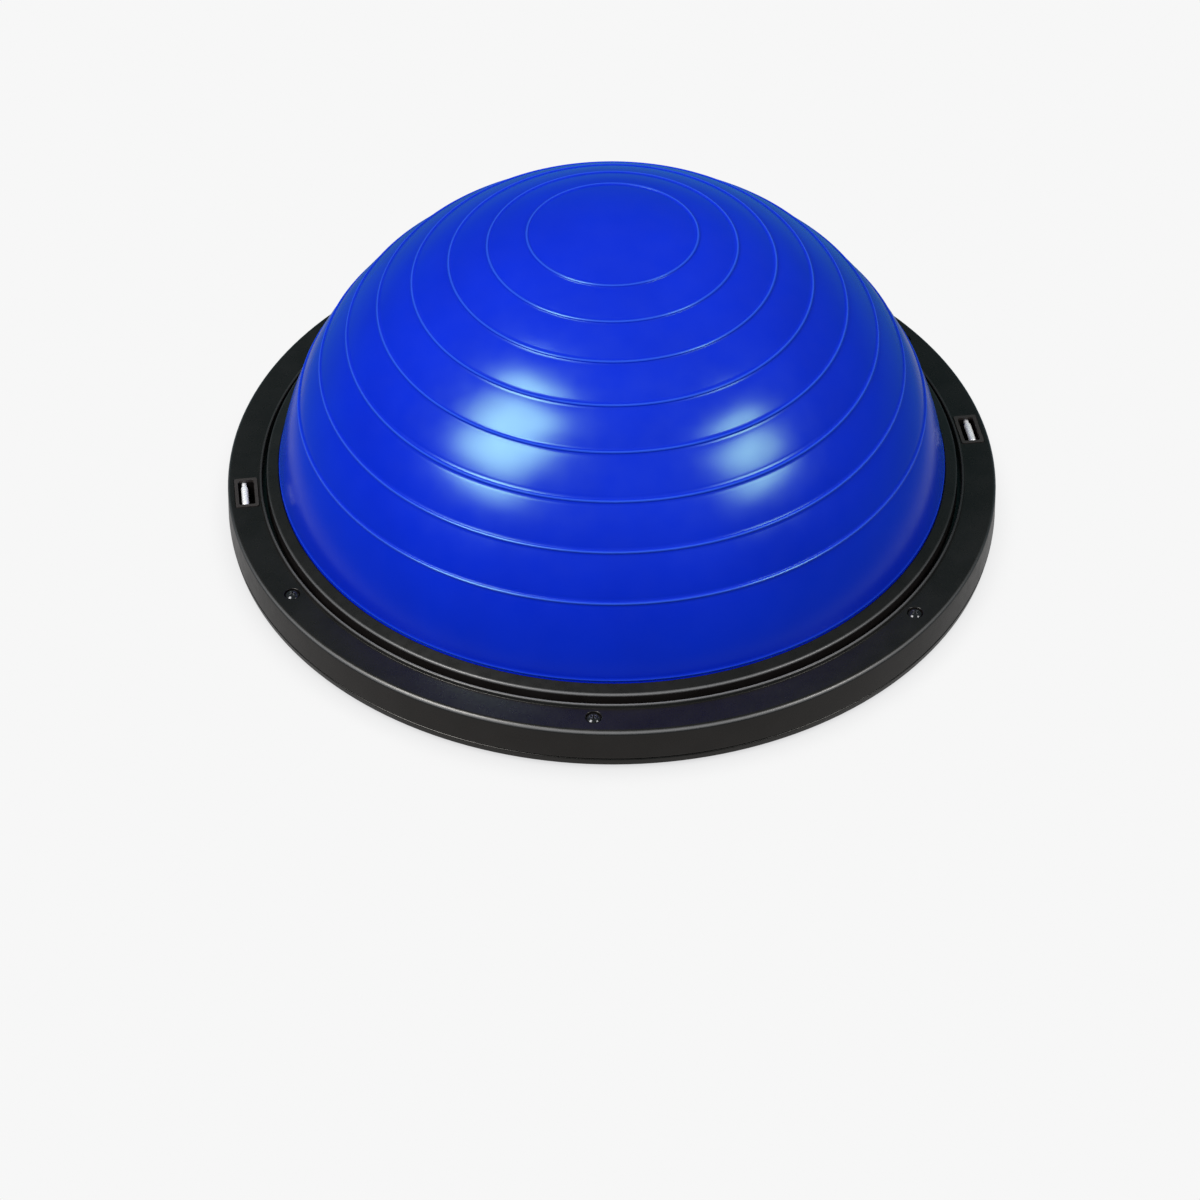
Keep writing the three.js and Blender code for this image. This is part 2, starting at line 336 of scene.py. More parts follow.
# ---- Materials --------------------------------------------------------------------------------
def new_material(name):
    material = bpy.data.materials.new(name)
    material.use_nodes = True
    return material, material.node_tree, material.node_tree.nodes["Principled BSDF"]


def node(tree, kind, inputs=(), **settings):
    """A shader node with its settings, and its inputs given as values or as other outputs."""
    made = tree.nodes.new(kind)
    for key, value in settings.items():
        setattr(made, key, value)
    for key, value in dict(inputs).items():
        if isinstance(value, bpy.types.NodeSocket):
            tree.links.new(value, made.inputs[key])
        else:
            made.inputs[key].default_value = value
    return made


def noise(tree, size, detail=3, stretch=(1, 1, 1)):
    """Soft noise between 0 and 1 whose blobs are about this size in millimetres."""
    where = node(tree, "ShaderNodeTexCoord").outputs["Object"]
    mapped = node(tree, "ShaderNodeMapping", {"Vector": where, "Scale": stretch}).outputs[0]
    inputs = {"Vector": mapped, "Scale": 1 / (size * MM), "Detail": detail}
    return node(tree, "ShaderNodeTexNoise", inputs).outputs[0]


def ramp(tree, value, stops):
    """Colours at positions along a value."""
    made = node(tree, "ShaderNodeValToRGB", {"Fac": value})
    elements = made.color_ramp.elements
    while len(elements) < len(stops):
        elements.new(0.5)
    for element, (position, colour) in zip(elements, stops):
        element.position = position
        element.color = (*colour, 1)
    return made.outputs["Color"]


def scaled(tree, value, lowest, highest, start=0.3, end=0.7):
    inputs = {"Value": value, "From Min": start, "From Max": end, "To Min": lowest, "To Max": highest}
    return node(tree, "ShaderNodeMapRange", inputs).outputs[0]


def blended(tree, share, one, other):
    made = node(tree, "ShaderNodeMix", data_type="RGBA")
    for index, value in ((0, share), (6, one), (7, other)):
        if isinstance(value, bpy.types.NodeSocket):
            tree.links.new(value, made.inputs[index])
        else:
            made.inputs[index].default_value = (*value, 1)
    return made.outputs[2]


def edges(tree, start=0.52, end=0.62):
    """Rises from 0 to 1 where the surface bends outwards."""
    pointed = node(tree, "ShaderNodeNewGeometry").outputs["Pointiness"]
    return scaled(tree, pointed, 0, 1, start, end)


def near_circles(tree, circles, width):
    """Rises from 0 to 1 near circles round +Z, each given as (radius, height) in millimetres."""
    where = node(tree, "ShaderNodeTexCoord").outputs["Object"]
    x, y, z = node(tree, "ShaderNodeSeparateXYZ", {0: where}).outputs
    flat = node(tree, "ShaderNodeCombineXYZ", {0: x, 1: y}).outputs[0]
    radius = node(tree, "ShaderNodeVectorMath", {0: flat}, operation="LENGTH").outputs["Value"]
    spot = node(tree, "ShaderNodeCombineXYZ", {0: radius, 1: z}).outputs[0]
    nearest = None
    for circle in circles:
        there = (circle[0] * MM, circle[1] * MM, 0)
        gap = node(tree, "ShaderNodeVectorMath", {0: spot, 1: there}, operation="DISTANCE")
        away = gap.outputs["Value"]
        if nearest is None:
            nearest = away
        else:
            nearest = node(tree, "ShaderNodeMath", {0: nearest, 1: away}, operation="MINIMUM").outputs[0]
    return scaled(tree, nearest, 1, 0, 0, width * MM)


def bumped(tree, layers):
    """A normal with layers of noise, each (size in mm, height in mm, strength)."""
    normal = None
    for size, height, strength in layers:
        inputs = {"Height": noise(tree, size), "Distance": height * MM, "Strength": strength}
        if normal is not None:
            inputs["Normal"] = normal
        normal = node(tree, "ShaderNodeBump", inputs).outputs["Normal"]
    return normal


def finish_shader(tree, shader, colour, roughness, normal, **constants):
    tree.links.new(colour, shader.inputs["Base Color"])
    tree.links.new(roughness, shader.inputs["Roughness"])
    tree.links.new(normal, shader.inputs["Normal"])
    for key, value in constants.items():
        shader.inputs[key.replace("_", " ")].default_value = value


def blue_pvc():
    """Smooth inflated PVC: even deep blue, satin, with a slightly uneven gloss and a painted highlight
    along the tops of its ribs and its foot bead.
    """
    material, tree, shader = new_material("blue_pvc")
    cloud = ramp(tree, noise(tree, 90), [(0.35, (0.0003, 0.0082, 0.307)), (0.65, (0.0004, 0.0096, 0.338))])
    # A lighter blue painted along the tops of the ribs and the bead at the foot: a painted highlight.
    crest_highlight = node(tree, "ShaderNodeAttribute", attribute_name="crest").outputs["Fac"]
    colour = blended(tree, scaled(tree, crest_highlight, 0, 0.32, 0.5, 1), cloud, (0.030, 0.105, 0.540))
    roughness = scaled(tree, noise(tree, 16, 5), 0.20, 0.25)
    normal = bumped(tree, [(38, 0.10, 0.5), (9, 0.012, 0.3)])
    finish_shader(
        tree, shader, colour, roughness, normal,
        IOR=1.5, Specular_Tint=(0.50, 1.0, 0.55, 1),
        Sheen_Weight=0.12, Sheen_Roughness=0.35, Sheen_Tint=(0.05, 0.40, 0.90, 1),
    )
    return material


def black_plastic(name, grain, shade=1.0):
    """Moulded black plastic with a fine grain, lighter along its edges: partly wear, partly a painted
    highlight that is strongest at the front.
    """
    material, tree, shader = new_material(name)
    dark = [c * shade for c in (0.0054, 0.0045, 0.0043)]
    light = [c * shade for c in (0.0072, 0.0062, 0.0060)]
    mottle = ramp(tree, noise(tree, 22, 4), [(0.35, dark), (0.65, light)])
    # Lighter colour painted near the collar's ridge and the ring's edges: partly wear, partly a painted
    # highlight.
    edge = near_circles(tree, RUBBED_AND_LIT_EDGES, 1.5)
    # The painted highlight is strongest on the side towards -Y, the front, and keeps about an eighth of its
    # strength elsewhere.
    where = node(tree, "ShaderNodeTexCoord").outputs["Object"]
    front = (-0.2, -0.98, 0)
    forward = node(tree, "ShaderNodeVectorMath", {0: where, 1: front}, operation="DOT_PRODUCT")
    painted_highlight = scaled(tree, forward.outputs["Value"], 0.12, 1, 0.06, 0.25)
    share = node(tree, "ShaderNodeMath", {0: edge, 1: painted_highlight}, operation="MULTIPLY").outputs[0]
    colour = blended(tree, share, mottle, (0.112, 0.112, 0.114))
    roughness = scaled(tree, noise(tree, 7, 5), 0.25, 0.33)
    normal = bumped(tree, [(grain, 0.04, 0.25), (grain / 4, 0.008, 0.3)])
    finish_shader(
        tree, shader, colour, roughness, normal,
        IOR=1.45, Specular_Tint=(1.0, 0.96, 0.90, 1),
    )
    return material


def black_screw():
    """Blackened steel, glossy, with bright metal showing on the rims."""
    material, tree, shader = new_material("black_screw")
    stops = [(0.35, (0.012, 0.012, 0.013)), (0.65, (0.022, 0.022, 0.024))]
    base = ramp(tree, noise(tree, 1.2, 4), stops)
    colour = blended(tree, scaled(tree, edges(tree), 0, 0.6, 0, 1), base, (0.20, 0.20, 0.21))
    roughness = scaled(tree, noise(tree, 0.8, 4), 0.10, 0.16)
    normal = bumped(tree, [(0.5, 0.004, 0.3)])
    finish_shader(tree, shader, colour, roughness, normal, Metallic=0.55, Specular_IOR_Level=0.7)
    return material


def polished_steel():
    """Bright plated steel with fine lines round the pin from grinding."""
    material, tree, shader = new_material("polished_steel")
    lines = noise(tree, 1.5, 3, (0.3, 9, 0.3))
    colour = ramp(tree, lines, [(0.3, (0.80, 0.80, 0.81)), (0.7, (0.92, 0.92, 0.93))])
    roughness = scaled(tree, noise(tree, 1.2, 4), 0.20, 0.32)
    normal = bumped(tree, [(0.6, 0.006, 0.3)])
    finish_shader(tree, shader, colour, roughness, normal, Metallic=0.45)
    return material


def zinc_steel():
    """Zinc plated nuts: greyer, with a cloudy plating."""
    material, tree, shader = new_material("zinc_steel")
    colour = ramp(tree, noise(tree, 2.5, 5), [(0.3, (0.38, 0.39, 0.40)), (0.7, (0.58, 0.58, 0.56))])
    roughness = scaled(tree, noise(tree, 1.1, 4), 0.30, 0.46)
    normal = bumped(tree, [(0.4, 0.01, 0.4)])
    finish_shader(tree, shader, colour, roughness, normal, Metallic=1.0)
    return material


def pad_rubber():
    """Matt black rubber, dusty where it is pressed on the floor."""
    material, tree, shader = new_material("pad_rubber")
    base = ramp(tree, noise(tree, 5, 5), [(0.35, (0.012, 0.012, 0.012)), (0.65, (0.020, 0.020, 0.019))])
    colour = blended(tree, scaled(tree, edges(tree), 0, 0.5, 0, 1), base, (0.07, 0.068, 0.064))
    roughness = scaled(tree, noise(tree, 3, 4), 0.72, 0.88)
    normal = bumped(tree, [(0.7, 0.04, 0.5)])
    finish_shader(tree, shader, colour, roughness, normal)
    return material


def white_vinyl():
    """Soft off-white vinyl of the valve."""
    material, tree, shader = new_material("white_vinyl")
    base = ramp(tree, noise(tree, 6, 4), [(0.35, (0.68, 0.66, 0.60)), (0.65, (0.76, 0.75, 0.70))])
    colour = blended(tree, scaled(tree, edges(tree), 0, 0.4, 0, 1), base, (0.85, 0.85, 0.82))
    roughness = scaled(tree, noise(tree, 2, 4), 0.42, 0.56)
    normal = bumped(tree, [(0.6, 0.02, 0.4)])
    finish_shader(tree, shader, colour, roughness, normal, Subsurface_Weight=0.08)
    return material


BLUE = blue_pvc()
SHELL_BLACK = black_plastic("black_plastic", 1.4)
TRIM_BLACK = black_plastic("black_trim", 0.9, 4)
SCREW_BLACK = black_screw()
STEEL = polished_steel()
ZINC = zinc_steel()
RUBBER = pad_rubber()
VINYL = white_vinyl()


# ---- The dome ---------------------------------------------------------------------------------
def rib_angle(k):
    """Degrees from the axis, seen from the dome's centre; they spread out downwards."""
    first, step, growth = 14.8, 7.1, 0.10
    return first + step * k + growth * k * k


def dome_reach(angle, inset=0):
    """Distance of the plain surface from the dome's centre, at an angle from the axis."""
    across = (math.sin(angle) / (DOME["radius"] - inset)) ** DOME["power"]
    up = (math.cos(angle) / (DOME["height"] - inset)) ** DOME["power"]
    return (across + up) ** (-1 / DOME["power"])


def dome_radius(height, inset=0):
    """Radius of the plain surface at a height."""
    rise = max(height - DOME["centre"], 0) / (DOME["height"] - inset)
    return (DOME["radius"] - inset) * (1 - rise ** DOME["power"]) ** (1 / DOME["power"])


def rib_distance(angle):
    """Along the surface, to the middle of the nearest rib."""
    return min(abs(angle - math.radians(rib_angle(k))) for k in range(RIB_COUNT)) * dome_reach(angle)


def crest(angle):
    """How high a point is on its rib: 1 along the top and 0 off the rib."""
    climb = min(max((RIB["width"] / 2 - rib_distance(angle)) / RIB["flank"], 0), 1)
    return climb * climb * (3 - 2 * climb)


def relief(angle):
    """How far the surface stands out: a bead on each rib, a valley beside it, a swell between."""
    ribs = [math.radians(rib_angle(k)) for k in range(RIB_COUNT)]
    distance = rib_distance(angle)
    out = RIB["height"] * crest(angle)
    out -= RIB["valley"] * math.exp(-(((distance - RIB["valley_at"]) / RIB["valley_width"]) ** 2))
    for one, other in zip(ribs, ribs[1:]):
        if one < angle < other:
            share = (angle - one) / (other - one)
            out += RIB["pillow"] * (math.sin(math.pi * share) ** 2 - 0.5)
    if angle < ribs[0] or angle > ribs[-1]:
        out -= RIB["pillow"] / 2 * math.exp(-((distance / RIB["fade"]) ** 2))
    return out


def foot_share(distance):
    """How much of the bead along the dome's foot there is, this far up from the seam."""
    return math.exp(-(((distance - FOOT["bead"]) / FOOT["width"]) ** 2))


def foot_relief(distance):
    """The bead, and under it the wall's turn inwards."""
    turn = math.exp(-((distance / FOOT["turn_width"]) ** 2))
    return FOOT["height"] * foot_share(distance) - FOOT["turn_in"] * turn


def dome_angles(last):
    """Angles down the dome from the crown, with fine steps on the ribs and at the foot."""
    wide = math.radians(1.1)
    near = 3.5 / DOME["radius"]
    fine = 0.25 / DOME["radius"]
    ribs = [math.radians(rib_angle(k)) for k in range(RIB_COUNT)]
    angles = [wide * i for i in range(1, int(last / wide))]
    angles = [a for a in angles if min(abs(a - rib) for rib in ribs) > near]
    reach_steps = round(near / fine)
    for rib in ribs:
        angles += [rib + fine * i for i in range(-reach_steps, reach_steps + 1)]
    foot_steps = (24, 20, 17, 15, *range(13, 0, -1))
    angles = [a for a in angles if a < last - 26 * fine]
    return sorted(angles) + [last - step * fine for step in foot_steps]


def dome_point(angle, distance):
    return (distance * math.sin(angle), DOME["centre"] + distance * math.cos(angle))


def make_dome():
    last = math.atan2(dome_radius(SEAM), SEAM - DOME["centre"])
    angles = dome_angles(last)
    outside = [(0, DOME["centre"] + DOME["height"])]
    up = [(last - a) * DOME["radius"] for a in angles]  # along the wall, from the seam
    outside += [dome_point(a, dome_reach(a) + relief(a) + foot_relief(u)) for a, u in zip(angles, up)]
    outside.append((dome_radius(SEAM) - FOOT["turn_in"], SEAM))
    wall = DOME["wall"]
    steps = 48
    inside = [(dome_radius(SEAM, wall), SEAM)]
    for i in range(steps - 1, 0, -1):
        angle = last * i / steps
        inside.append(dome_point(angle, dome_reach(angle, wall)))
    inside.append((0, DOME["centre"] + DOME["height"] - wall))
    mesh = lathe(outside + inside)
    # The painted highlight's share at each row of points: the tops of the ribs and the bead at the foot.
    crests = [max(crest(a), 0.9 * foot_share(u)) for a, u in zip(angles, up)]
    painted_highlight = [0.0] + [share for share in crests for _ in range(AROUND)]
    painted_highlight += [0.0] * (len(mesh.vertices) - len(painted_highlight))
    mesh.attributes.new("crest", "FLOAT", "POINT").data.foreach_set("value", painted_highlight)
    obj = piece("dome", mesh, BLUE, "dome_pvc", "platform", "dome_skin")
    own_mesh(obj)


def make_dome_foot():
    """The clamped foot of the same moulding: a short wall that turns out into a flange."""
    wall = DOME["wall"]
    head = SEAM - 0.1
    flange = FLANGE["top"]
    rise = [head, 40, 35, 30]
    outside = [(dome_radius(z), z, 0) for z in rise] + [(dome_radius(flange), flange, 1.2)]
    plate = [(FLANGE["radius"], flange, 1), (FLANGE["radius"], FLANGE["low"], 1)]
    under = (dome_radius(FLANGE["low"], FLANGE["wall"]), FLANGE["low"], 0.8)
    inside = [(dome_radius(z, wall), z, 0) for z in reversed(rise)]
    mesh = lathe(filleted(outside + plate + [under] + inside))
    piece("dome_foot", mesh, BLUE, "dome_pvc", "platform", "dome_cuff")


def make_dome_floor():
    """The flat sheet that closes the dome, with a round hole for the valve."""
    edge = dome_radius(FLANGE["low"], FLANGE["wall"]) - 2 * GAP
    hole = 7.7
    base = FLANGE["low"]
    lid = top("dome_floor")
    mesh = lathe(filleted([(hole, base, 0.5), (edge, base, 0.8), (edge, lid, 0.8), (hole, lid, 0.5)]))
    piece("dome_sheet", mesh, BLUE, "dome_pvc", "platform", "dome_floor")


# ---- The collar and the ring round it ---------------------------------------------------------
def make_collar():
    under = low("dome_collar")
    wall = COLLAR_WALL
    shelf = 29  # top of the flange that the ring holds down
    outer = reach("dome_collar")
    inner = [(dome_radius(z) + 0.4, z, 0) for z in (under, 30, 34, 38, 41, SEAM)]
    lip = (dome_radius(COLLAR_TOP) + 1.2, COLLAR_TOP, 0.4)
    ridge = (wall - 0.2, COLLAR_TOP - 2.9, 1.3)
    corners = [*inner, lip, ridge, (wall, shelf, 1), (outer, shelf, 0.3), (outer, under, 0.3)]
    piece("collar", lathe(filleted(corners)), SHELL_BLACK, "black_plastic", "platform", "dome_collar")


def make_ring():
    base = low("top_ring_right")
    clamp = low("dome_collar") + 3.3  # the ring's inner wall ends on the collar's flange
    wall = 270
    under = RIM_TOP - 4
    inner = BEAD["inner"]
    foot = inner + BEAD["wide"]
    lip = RIM_TOP + BEAD["high"]
    skirt = RIM - 5
    body = lathe(filleted([
        (inner, clamp, 0.3), (inner, lip, 0.9), (foot - 1, lip, 0.9), (foot, RIM_TOP, 0.4),
        (SHOULDER, RIM_TOP, 3.4), (RIM + 0.05, base, 1.5),
        (skirt, base, 0.5), (skirt, under, 1.2), (wall, under, 0), (wall, clamp, 0.3),
    ]))
    boss_end = 16
    floor_of_bore = SCREW["under"] - GAP
    boss = post(SCREW["boss"], boss_end, under + 0.5)
    counterbore = flared_post(SCREW["counterbore"], floor_of_bore, RIM_TOP, 0.5)
    bore = post(SCREW["bore"], boss_end - 1, floor_of_bore + 0.5, 32)
    bosses = [at(boss, *seat) for seat in SCREW_SEATS]
    cuts = []
    for seat in SCREW_SEATS:
        cuts += [at(counterbore, *seat), at(bore, *seat)]
    across, along = [side + 2 * GAP for side in FRAME]
    window = flared_block(across, along, under - 4, RIM_TOP, 1.8, 0.3)
    cuts += [at(window, SLOT["circle"], degrees) for degrees in SIDES.values()]
    mesh = combined(combined(body, bosses, "UNION"), cuts, "DIFFERENCE")
    nodes = [f"top_ring_{side}" for side in ("front", "back", "left", "right")]
    piece("rim_ring", mesh, SHELL_BLACK, "black_plastic", "platform", *nodes)


# ---- The platform's base ----------------------------------------------------------------------
def base_outline():
    """Section of the base, from the well's mouth out along the underside and back over the top."""
    lip = RIM - 5.7
    part = low("top_ring_right") - GAP
    corners = [(WELL["radius"], UNDERSIDE, 1)]
    groove = UNDERSIDE + 0.9
    for middle in range(50, 200, 24):  # shallow grooves that stop the underside from slipping
        corners += [(middle - 1.5, UNDERSIDE, 0.4), (middle - 0.9, groove, 0.3)]
        corners += [(middle + 0.9, groove, 0.3), (middle + 1.5, UNDERSIDE, 0.4)]
    corners += [(RIM - 1, UNDERSIDE, 1.8), (RIM, part, 0.8), (lip, part, 0.3)]
    step, thick = 4.5, 2.8  # the low wall that the ring's skirt goes over
    corners += [(lip, part + step, 0.4), (lip - thick, part + step, 0.4), (lip - thick, PLATE_TOP, 0.8)]
    for wall in (262, 243, 130):
        corners += [(wall, PLATE_TOP, 0.8), (wall, WEB_TOP, 0.4)]
        corners += [(wall - WEB, WEB_TOP, 0.4), (wall - WEB, PLATE_TOP, 0.8)]
    outer = WELL["radius"] + WELL["wall"]
    corners += [(outer, PLATE_TOP, 0.8), (outer, WELL["web"], 0.5)]
    corners += [(WELL["hole"], WELL["web"], 0.4)]
    corners += [(WELL["hole"], WELL["top"], 0.4), (WELL["radius"], WELL["top"], 1)]
    return filleted(corners)


def make_base():
    rooted = PLATE_TOP - 0.5
    spoke = block(SPOKE["to"] - SPOKE["from"], WEB, rooted, WEB_TOP, 0.4)
    spoke_middle = (SPOKE["to"] + SPOKE["from"]) / 2
    wall = RECESS["wall"]
    size = (RECESS["across"], RECESS["along"])
    outer = [side + 2 * wall for side in size]
    tub = block(*outer, rooted, RECESS["top"] + wall, RECESS["corner"] + wall)
    recess = flared_block(*size, UNDERSIDE, RECESS["top"], RECESS["corner"], 1.2, mouth_up=False)
    below = UNDERSIDE - 1
    boss_top = 15.6
    boss = post(7.8, rooted, boss_top)
    bore = post(SCREW["bore"], below, boss_top + 1.4, 32)
    hexagon = polygon(5, 6)
    pocket = stack([(hexagon, below), (hexagon, 8.8)])
    socket = post(PAD_RADIUS + GAP, below, 5.5, 64)
    pitch = 360 / SPOKE["count"]
    added = [at(spoke, spoke_middle, pitch * (k + 0.5)) for k in range(SPOKE["count"])]
    cuts = []
    for seat in SCREW_SEATS:
        added.append(at(boss, *seat))
        cuts += [at(bore, *seat), at(pocket, *seat)]
    for degrees in SIDES.values():
        added.append(at(tub, RECESS["centre"], degrees))
        cuts.append(at(recess, RECESS["centre"], degrees))
    cuts += [at(socket, *seat) for seat in PAD_SEATS]
    mesh = combined(combined(lathe(base_outline()), added, "UNION"), cuts, "DIFFERENCE")
    piece("platform_base", mesh, SHELL_BLACK, "black_plastic", "platform", "base_platform")


# ---- Screws, nuts and pads --------------------------------------------------------------------
def screw_mesh():
    """A pan head with a tapered cross recess, on a threaded shank."""
    tip, under, height = SCREW["tip"], SCREW["under"], SCREW["height"]
    crown = under + height
    core, crest, pitch = 2.0, 2.5, 0.8
    rows = 100
    chamfer, neck = 0.6, 1
    length = under - neck - tip - chamfer
    shank = [(0, tip), (core - 0.4, tip)]
    shank += [(core, tip + chamfer + length * i / rows) for i in range(rows + 1)]
    wide = SCREW["head"]
    head = [(wide, under, 0.25), (wide, under + 1.6, 0.9), (3.2, crown - 0.4, 3), (0, crown, 0)]
    pan = filleted([(core, under, 0.2), *head])[:-1]
    mesh = lathe(shank + pan + [(0, crown)], 48)
    for vertex in mesh.vertices:
        height_now = vertex.co.z / MM
        if tip + 1 < height_now < under - 1.2:
            turn = math.atan2(vertex.co.y, vertex.co.x) / (2 * math.pi)
            phase = (height_now / pitch - turn) % 1
            grown = core + (crest - core) * (1 - abs(2 * phase - 1))
            vertex.co.xy = vertex.co.xy.normalized() * (grown * MM)
    mouth = oblong(5.0, 1.1, 0.25, 3)
    bottom = oblong(2.4, 0.7, 0.2, 3)
    bar = stack([(bottom, under + 0.9), (mouth, crown + 0.4)])
    crossing = bar.copy()
    crossing.transform(Matrix.Rotation(math.pi / 2, 4, "Z"))
    return combined(mesh, [bar, crossing], "DIFFERENCE")


def nut_mesh():
    """A hexagon nut with turned chamfers at both ends."""
    base, lid, corner, bore = 4.4, 8.4, 4.6, 2.8
    flat = corner * math.cos(math.pi / 6)
    hexagon = polygon(corner, 6)
    prism = stack([(hexagon, base), (hexagon, lid)])
    trim = lathe([
        (0, base - 0.01), (flat - 0.1, base - 0.01), (corner + 0.05, base + 0.5),
        (corner + 0.05, lid - 0.5), (flat - 0.1, lid + 0.01), (0, lid + 0.01),
    ], 48)
    hole = lathe([
        (0, base - 1), (bore + 1.5, base - 1), (bore - 0.1, base + 0.6),
        (bore - 0.1, lid - 0.6), (bore + 1.5, lid + 1), (0, lid + 1),
    ], 32)
    return combined(combined(prism, [trim], "INTERSECT"), [hole], "DIFFERENCE")


def pad_mesh():
    """A round rubber pad: soft outer edge, two tread grooves and a dimple in its sole."""
    sole = [(0, 1.1, 0), (2.2, 1.1, 0.3), (3.2, 0, 0.5)]
    deep = 0.9
    for middle in (7, 11):
        sole += [(middle - 1, 0, 0.3), (middle - 0.5, deep, 0.2)]
        sole += [(middle + 0.5, deep, 0.2), (middle + 1, 0, 0.3)]
    lid = 5.2
    rim = [(14.6, 0, 1.1), (PAD_RADIUS, 2.2, 1.2), (PAD_RADIUS, lid, 0.5), (0, lid, 0)]
    return lathe(filleted(sole + rim), 64)


def make_fasteners():
    screw = screw_mesh()
    nut = nut_mesh()
    for k, seat in enumerate(SCREW_SEATS, 1):
        turned_to = 37 * k + 11  # nobody lines up the crosses
        place = standing(*seat, turned_to)
        piece(f"screw_{k}", screw, SCREW_BLACK, "screw_black", "platform", f"ring_screw_{k}", place=place)
        place = standing(*seat)
        piece(f"nut_{k}", nut, ZINC, "nut_steel", "platform", f"captive_nut_{k}", place=place)


def make_pads():
    pad = pad_mesh()
    for k, seat in enumerate(PAD_SEATS, 1):
        place = standing(*seat)
        piece(f"pad_{k}", pad, RUBBER, "pad_rubber", "platform", f"foot_pad_{k}", place=place)


# ---- Anchors for the bands --------------------------------------------------------------------
def laid(mesh):
    """Lays a part that was made round +Z along Y, through the pin's middle."""
    turn = Matrix.Rotation(math.pi / 2, 4, "X")
    mesh.transform(Matrix.Translation((PIN["offset"] * MM, 0, PIN["height"] * MM)) @ turn)
    return mesh


def cup_mesh():
    """The cup under a slot: a deep box with two ears and open saddles for the pin's ends."""
    across, along = FRAME
    lid = RIM_TOP - 2.1
    base = lid - SLOT["depth"]
    ears = block(9, along + 10, 27.7, 30.7, 2)
    body = combined(block(across, along, base, lid, 1.5), [ears], "UNION")
    inside = block(SLOT["across"] + 0.4, SLOT["along"] + 0.4, base + 2, lid + 1, 1.2)
    through = 40
    saddles = laid(post(SADDLE, -through / 2, through / 2))
    way_in = block(2 * SADDLE, through, PIN["height"], lid + 2, 0.01)
    way_in.transform(Matrix.Translation((PIN["offset"] * MM, 0, 0)))
    return softened(combined(body, [inside, saddles, way_in], "DIFFERENCE"), 0.25, 2)


def bezel_mesh():
    """The raised frame round a slot, with soft edges."""
    body = block(*FRAME, RIM_TOP - 1.8, RIM_TOP + 0.5, 1.5)
    hole = block(SLOT["across"], SLOT["along"], RIM_TOP - 3, RIM_TOP + 2, 1.2)
    return softened(combined(body, [hole], "DIFFERENCE"), 0.4, 3)


def pin_mesh():
    """A steel pin: a thick roller between two thinner journals."""
    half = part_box("anchor_pin_left")[1].y / MM
    roller = PIN["roller"]
    corners = [(0, -half, 0), (PIN["journal"], -half, 0.5), (PIN["journal"], -roller, 0)]
    corners += [(PIN["radius"], -roller, 2.4), (PIN["radius"], roller, 2.4)]
    corners += [(PIN["journal"], roller, 0), (PIN["journal"], half, 0.5), (0, half, 0)]
    return laid(lathe(filleted(corners), 48))


def make_anchors():
    cup, bezel, pin = cup_mesh(), bezel_mesh(), pin_mesh()
    for side, degrees in SIDES.items():
        place = standing(SLOT["circle"], degrees)
        cup_node, bezel_node, pin_node = [f"anchor_{part}_{side}" for part in ("cup", "bezel", "pin")]
        piece(f"cup_{side}", cup, SHELL_BLACK, "black_plastic", "platform", cup_node, place=place)
        piece(f"bezel_{side}", bezel, TRIM_BLACK, "black_plastic", "platform", bezel_node, place=place)
        piece(f"pin_{side}", pin, STEEL, "pin_steel", pin_node, pin_node, place=place)


# ---- The inflation valve ----------------------------------------------------------------------
def make_valve():
    bore, stem, flange = 4.6, 7.4, 17
    mouth = low("valve_body")
    lid = top("valve_body")
    shelf = lid - 2
    tube = lathe(filleted([
        (bore, mouth, 0.5), (stem, mouth, 0.6), (stem, shelf, 0.8), (flange, shelf, 0.5),
        (flange, lid, 0.7), (bore, lid, 0.5),
    ]), 96)
    piece("valve_stem", tube, VINYL, "valve_vinyl", "platform", "valve_body")
    cap = mouth - 0.4
    face = cap - 3.6
    base = low("valve_plug")
    shank = bore - 0.4
    plug = lathe(filleted([
        (0, face, 0), (9, face, 0.9), (9, cap, 0.8), (shank, cap, 0.5),
        (shank, 13, 0.2), (shank - 0.5, 13.6, 0.2), (shank, 14.2, 0.2),
        (shank, 20, 0.8), (3.2, 23, 0.8), (0, 23, 0),
    ]), 96)
    tab = softened(block(3, 12, base, cap - 3, 1.2), 0.4, 3)
    mesh = combined(plug, [tab], "UNION")
    piece("plug", mesh, VINYL, "valve_vinyl", "valve_plug", "valve_plug")


# ---- Studio -----------------------------------------------------------------------------------
PALE = 0.93
FLOOR_BOUNCE = (0.25, 0.25, 0.25)  # what the floor throws on dull surfaces
# What the room throws on them, from the horizon up to overhead, times its power
ROOM_BOUNCE = [(0, (0.15, 0.15, 0.15)), (1, (0.745, 0.745, 0.745))]
ROOM_POWER = 2
# What polished surfaces mirror of the floor, by the distance from its middle in metres
FLOOR_GLOSS = [(0.33, (0.42, 0.42, 0.42)), (0.43, (0.05, 0.16, 0.22))]
ROOM_GLOSS = (0.035, 0.11, 0.12)  # and of the room above it


